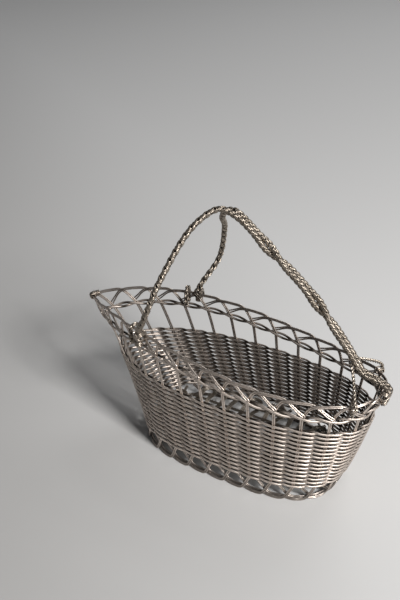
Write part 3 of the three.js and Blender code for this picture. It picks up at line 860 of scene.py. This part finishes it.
def lashing_turns(seat, diameter, turns, rise, reach, wire):
    share = np.array(seat / STAKE_COUNT)
    point, around, out, up = wall_frame(share, rim_height(share) - BORDER_EDGE)
    inner = -(BORDER_FACE + wire / 2)
    outer = BORDER_FACE + diameter + CLEARANCE + wire / 2
    wires = []
    for direction in (-1, 1):
        slant = unit(rise * up + direction * around)
        flank = np.cross(out, slant)
        angle = np.linspace(0, 2 * np.pi * turns, LASHING_TURN_STEPS * turns + 1)
        deep = signed_power(np.cos(angle), LASHING_SQUARENESS)
        long = signed_power(np.sin(angle), LASHING_SQUARENESS)
        path = (
            point
            + out * ((outer + inner) / 2 + (outer - inner) / 2 * deep)[:, None]
            + slant * (reach * long)[:, None]
            + flank * (wire * LASHING_PITCH * (angle / (2 * np.pi) - turns / 2))[:, None]
        )
        rings = tube(path, wire, THIN_WIRE_SIDES)
        # Painted shade on each turn's inner half
        facing = np.repeat(out[None], len(path), axis=0)
        wires.append((rings, wear_and_shade_by_depth(rings, path, facing, -wire / 2, 0)))
    return wires


def coil_round(course, start, length, radius, wire):
    """Thin wire wound closely round a stretch of a rope, from a distance along its course."""
    path, places = even_steps(course, COIL_STEP)
    stretch = (places >= start) & (places <= start + length)
    tangents = unit(np.gradient(path, axis=0))[stretch]
    first = unit(np.cross(tangents, COIL_START_WAY))
    second = np.cross(tangents, first)
    angle = 2 * np.pi * (places[stretch] - start) / (wire * COIL_PITCH)
    picks = np.linspace(0, len(angle) - 1, int(length / wire * COIL_TURN_STEPS)).astype(int)
    turned = np.linspace(angle[0], angle[-1], len(picks))[:, None]
    outward = np.cos(turned) * first[picks] + np.sin(turned) * second[picks]
    return tube(path[stretch][picks] + radius * outward, wire, THIN_WIRE_SIDES), 1


def course_length(course):
    return even_steps(course, 1.0)[1][-1]


def rim_hitch(seat):
    """Course of a short rope laid over the rim's top edge, from inside to outside."""
    share = np.array(seat / STAKE_COUNT)
    point, _, out, up = wall_frame(share, rim_height(share))
    return smooth_curve([point + out * away + up * rise for away, rise in HITCH_COURSE], per_span=10)


def side_lashing(side):
    wires = lashing_turns(
        side * ROPE_SEATS[side],
        ROPE_DIAMETER,
        SIDE_LASHING_TURNS,
        SIDE_LASHING_RISE,
        SIDE_LASHING_REACH,
        LASHING_WIRE,
    )
    radius = ROPE_DIAMETER / 2 + COIL_CLEARANCE
    wires.append(coil_round(rope_course(side), SIDE_COIL_START, SIDE_COIL_LENGTH, radius, LASHING_WIRE))
    return wires


def side_hitch(side):
    return braid(rim_hitch(side * (ROPE_SEATS[side] + HITCH_STEP)), LEG_TURN, 1, HITCH_SCALE)


def stay_lashing(side):
    return lashing_turns(
        side * STAY_SEAT,
        STAY_DIAMETER,
        STAY_LASHING_TURNS,
        STAY_LASHING_RISE,
        STAY_DIAMETER,
        LASHING_WIRE,
    )


def back_lashing():
    diameter = ROPE_DIAMETER * BRAID_END
    wires = lashing_turns(
        0, diameter, BACK_LASHING_TURNS, BACK_LASHING_RISE, BACK_LASHING_REACH, LASHING_WIRE
    )
    radius = diameter / 2 + COIL_CLEARANCE
    for side in (-1, 1):
        course = rope_course(side)
        start = course_length(course) - BACK_COIL_START
        wires.append(coil_round(course, start, BACK_COIL_LENGTH, radius, LASHING_WIRE))
    return wires


def spout_binding():
    reach = SPOUT_BINDING / STAKE_COUNT
    tip = np.linspace(0.5 - reach, 0.5 + reach, SPOUT_BINDING_SAMPLES)
    course = wall_point(tip, rim_height(tip) - BORDER_EDGE)
    return [coil_round(course, 0, course_length(course), SPOUT_BINDING_RADIUS, LASHING_WIRE)]


for name, side in SIDES:
    nodes = [f"side_lashing_{name}"]
    make_piece(f"side_lashing_turns_{name}", side_lashing(side), lashing_silver, nodes)
    make_piece(f"side_hitch_{name}", side_hitch(side), rope_silver, [])
    make_piece(f"stay_lashing_{name}", stay_lashing(side), lashing_silver, [])

make_piece("back_lashing", back_lashing(), lashing_silver, [])
make_piece("spout_binding", spout_binding(), lashing_silver, [])


# Stays: two wires twisted together, from the band down to the rim

def twisted_pair(course, wire, pitch):
    path, places = even_steps(course, STAY_STEP)
    tangents = unit(np.gradient(path, axis=0))
    first = unit(np.cross(tangents, np.array(STAY_START_WAY)))
    second = np.cross(tangents, first)
    wires = []
    for start in (0, math.pi):
        phase = (2 * np.pi * places / pitch + start)[:, None]
        outward = np.cos(phase) * first + np.sin(phase) * second
        rings = tube(path + outward * wire / 2, wire)
        # Painted shade towards the pair's middle
        wires.append((rings, wear_and_shade_by_depth(rings, path, outward, 0, STAY_WEAR_AND_SHADE * wire)))
    return wires


def stay_course(side):
    """From under the band, round its edge and down over the rim."""
    band, _ = band_course()
    run = unit(band[-1] - band[-3])
    above = np.array([-run[2], 0, run[0]])
    start = band[-1] - run * STAY_TOP
    top = np.array([
        start - above * STAY_UNDER + (0, STAY_DIAMETER / 2, 0),
        start + run * STAY_TOP / 5 - above * STAY_DIAMETER / 2 + (0, STAY_BESIDE, 0),
    ])
    points = np.concatenate([top, over_rim(STAY_SEAT, STAY_DIAMETER, STAY_TAIL)])
    points[:, 1] *= side
    return smooth_curve(points, per_span=16)


for name, side in SIDES:
    wires = twisted_pair(stay_course(side), STAY_WIRE, STAY_PITCH)
    make_piece(f"stay_twist_{name}", wires, rope_silver, [f"stay_{name}"])


# Floor of the studio

def pale_floor():
    """A matt grey with painted light: it grows paler in one direction, standing in for the key light's
    falloff, and is slightly uneven.
    """
    material = bpy.data.materials.new("pale_floor")
    material.use_nodes = True
    nodes = material.node_tree.nodes
    links = material.node_tree.links
    shader = nodes["Principled BSDF"]
    shader.inputs["Roughness"].default_value = STUDIO_ROUGHNESS
    shader.inputs["Specular IOR Level"].default_value = STUDIO_SPECULAR
    place = nodes.new("ShaderNodeTexCoord")
    paler_way = nodes.new("ShaderNodeVectorMath")
    paler_way.operation = "DOT_PRODUCT"
    paler_way.inputs[1].default_value = PALER_WAY
    links.new(place.outputs["Object"], paler_way.inputs[0])
    # painted shade: darker toward the left of the view, paler toward the lit side
    shade = nodes.new("ShaderNodeMapRange")
    shade.interpolation_type = "SMOOTHSTEP"
    shade.inputs["From Min"].default_value = STUDIO_SHADE_RANGE[0]
    shade.inputs["From Max"].default_value = STUDIO_SHADE_RANGE[1]
    links.new(paler_way.outputs["Value"], shade.inputs["Value"])
    noise = nodes.new("ShaderNodeTexNoise")
    noise.inputs["Scale"].default_value = STUDIO_NOISE_SCALE
    uneven = nodes.new("ShaderNodeMath")
    uneven.operation = "MULTIPLY_ADD"
    uneven.inputs[1].default_value = STUDIO_NOISE
    links.new(noise.outputs["Fac"], uneven.inputs[0])
    links.new(shade.outputs["Result"], uneven.inputs[2])
    ramp = nodes.new("ShaderNodeValToRGB")
    ramp.color_ramp.elements[0].color = STUDIO_SHADED_GREY
    ramp.color_ramp.elements[1].color = STUDIO_LIT_GREY
    links.new(uneven.outputs["Value"], ramp.inputs["Fac"])
    links.new(ramp.outputs["Color"], shader.inputs["Base Color"])
    return material


def studio_floor():
    half = STUDIO_HALF
    mesh = bpy.data.meshes.new("studio_floor")
    corners = [(-half, -half, 0), (half, -half, 0), (half, half, 0), (-half, half, 0)]
    mesh.from_pydata(corners, [], [(0, 1, 2, 3)])
    floor = bpy.data.objects.new("studio_floor", mesh)
    bpy.context.scene.collection.objects.link(floor)
    mesh.materials.append(pale_floor())


studio_floor()


# Lights, world and camera

def area_light(name, location, size, energy, colour):
    light = bpy.data.lights.new(name, "AREA")
    light.shape = "RECTANGLE"
    light.size, light.size_y = size
    light.energy = energy
    light.color = colour
    lamp = bpy.data.objects.new(name, light)
    bpy.context.scene.collection.objects.link(lamp)
    lamp.location = location
    lamp.rotation_euler = (Vector(LIGHT_TARGET) - Vector(location)).to_track_quat("-Z", "Y").to_euler()


for light in LIGHTS:
    area_light(*light)

world = bpy.data.worlds.new("studio")
bpy.context.scene.world = world
world.use_nodes = True
world.node_tree.nodes["Background"].inputs["Color"].default_value = WORLD_COLOUR
world.node_tree.nodes["Background"].inputs["Strength"].default_value = WORLD_STRENGTH

back = Vector((
    math.sin(AZIMUTH) * math.cos(ELEVATION),
    -math.cos(AZIMUTH) * math.cos(ELEVATION),
    math.sin(ELEVATION),
))
right = Vector((math.cos(AZIMUTH), math.sin(AZIMUTH), 0))
above = back.cross(right)
lens = bpy.data.cameras.new("camera")
lens.lens = CAMERA_LENS
lens.sensor_width = CAMERA_SENSOR
camera = bpy.data.objects.new("camera", lens)
bpy.context.scene.collection.objects.link(camera)
eye = SUBJECT + CAMERA_DISTANCE * (back - SUBJECT_RIGHT * right + SUBJECT_DOWN * above)
camera.location = eye * MM
camera.rotation_euler = Matrix((right, above, back)).transposed().to_euler()
bpy.context.scene.camera = camera

bpy.context.scene.view_settings.view_transform = "Standard"
